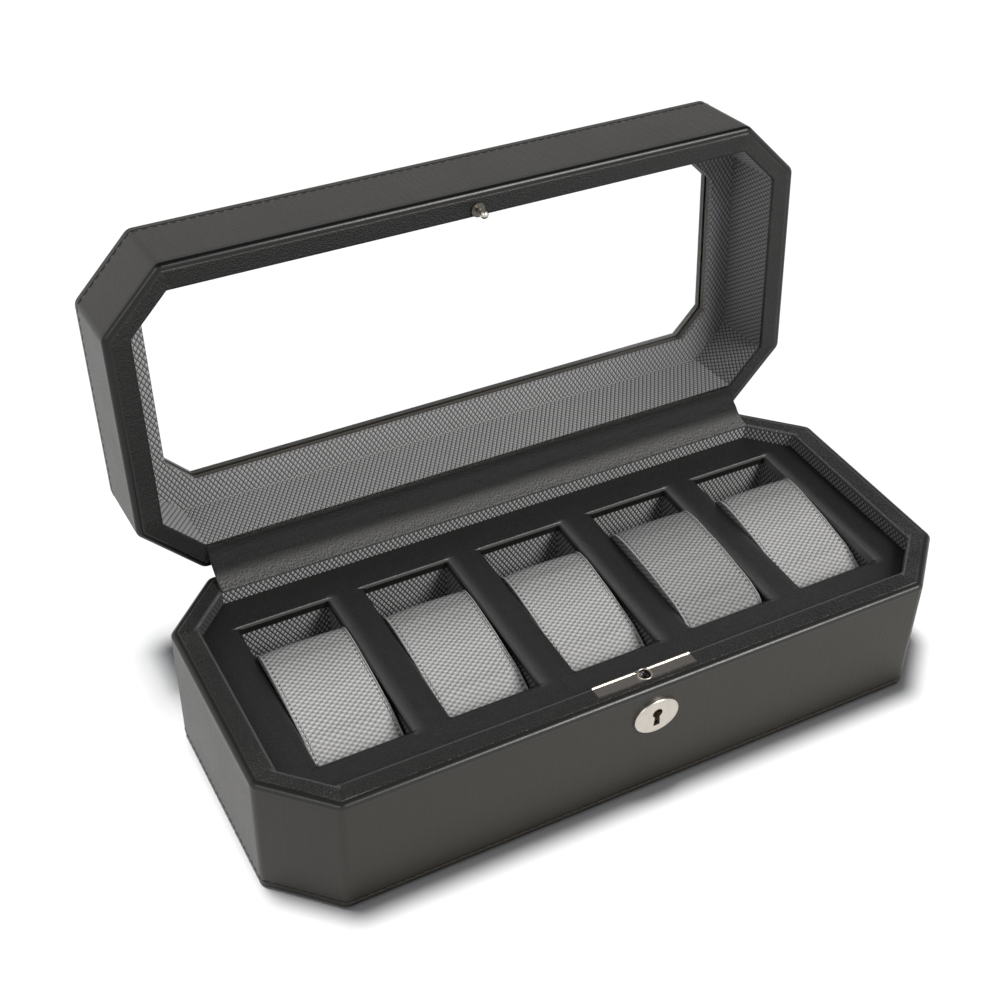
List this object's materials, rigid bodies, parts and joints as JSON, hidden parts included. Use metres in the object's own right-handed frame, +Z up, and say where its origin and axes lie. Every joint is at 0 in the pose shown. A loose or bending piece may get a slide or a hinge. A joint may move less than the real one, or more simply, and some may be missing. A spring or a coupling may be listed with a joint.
{
  "type": "watch box",
  "caption": "Long watch box with cut corners, covered in black leather, with a row of soft cuffs in fabric-lined wells and a hinged, glazed and lockable lid standing open.",
  "frame": {"origin": "middle of the underside, on the surface that the box stands on", "axes": "+X along the box's length to the right as seen from the lock, +Y from the lock to the hinge, +Z up"},
  "size_m": [0.34, 0.2106, 0.215],
  "materials": {
    "black_leather": "satin, fine grain",
    "grey_weave": "diamond weave",
    "pad_felt": "matt felt",
    "bottom_felt": "matt felt",
    "board": "raw fibre board",
    "clear_glass": "polished",
    "black_bead": "matt",
    "nickel": "polished",
    "steel": "plated"
  },
  "bodies": {
    "base": {"base_back_board": "board", "base_bottom_cover": "bottom_felt", "base_corner_boards": "board", "base_floor": "board", "base_front_board": "board", "base_leather": "black_leather", "base_left_board": "board", "base_lining": "grey_weave", "base_right_board": "board", "escutcheon": "nickel", "hinge_base_leaves": "steel", "hinge_base_screws": "steel", "hinge_pins": "steel", "hinge_strip": "black_leather", "lock_case": "steel", "strike_plate": "nickel", "tray_board": "board", "tray_leather": "black_leather", "well_back_board": "board", "well_front_board": "board", "well_linings": "grey_weave", "well_pads": "pad_felt", "well_side_boards": "board"},
    "lid": {"lid_back_board": "board", "lid_back_rail": "board", "lid_corner_boards": "board", "lid_corner_rails": "board", "lid_front_board": "board", "lid_front_rail": "board", "lid_leather": "black_leather", "lid_left_board": "board", "lid_left_rail": "board", "lid_lining": "grey_weave", "lid_right_board": "board", "lid_right_rail": "board", "window_lining": "grey_weave", "glass_bead": "black_bead", "glass_pane": "clear_glass", "catch_stud": "nickel", "hinge_lid_leaves": "steel", "hinge_lid_screws": "steel"},
    "lock_bolt": {"lock_bolt": "steel"},
    "cuff_1": {"cuff_1": "grey_weave"},
    "cuff_2": {"cuff_2": "grey_weave"},
    "cuff_3": {"cuff_3": "grey_weave"},
    "cuff_4": {"cuff_4": "grey_weave"},
    "cuff_5": {"cuff_5": "grey_weave"}
  },
  "joints": [
    {"name": "lid_hinge", "type": "hinge", "parent": "base", "child": "lid", "pos_m": [0, 0.0765, 0.0645], "axis": [1, 0, 0], "range_deg": [0, 95.5], "deforming": ["hinge_strip"]},
    {"name": "bolt_slide", "type": "slide", "parent": "base", "child": "lock_bolt", "axis": [1, 0, 0], "range_m": [0, 0.0055]},
    {"name": "cuff_1_lift", "type": "slide", "parent": "base", "child": "cuff_1", "axis": [0, 0, -1], "range_m": [-0.065, 0]},
    {"name": "cuff_2_lift", "type": "slide", "parent": "base", "child": "cuff_2", "axis": [0, 0, -1], "range_m": [-0.065, 0]},
    {"name": "cuff_3_lift", "type": "slide", "parent": "base", "child": "cuff_3", "axis": [0, 0, -1], "range_m": [-0.065, 0]},
    {"name": "cuff_4_lift", "type": "slide", "parent": "base", "child": "cuff_4", "axis": [0, 0, -1], "range_m": [-0.065, 0]},
    {"name": "cuff_5_lift", "type": "slide", "parent": "base", "child": "cuff_5", "axis": [0, 0, -1], "range_m": [-0.065, 0]}
  ]
}
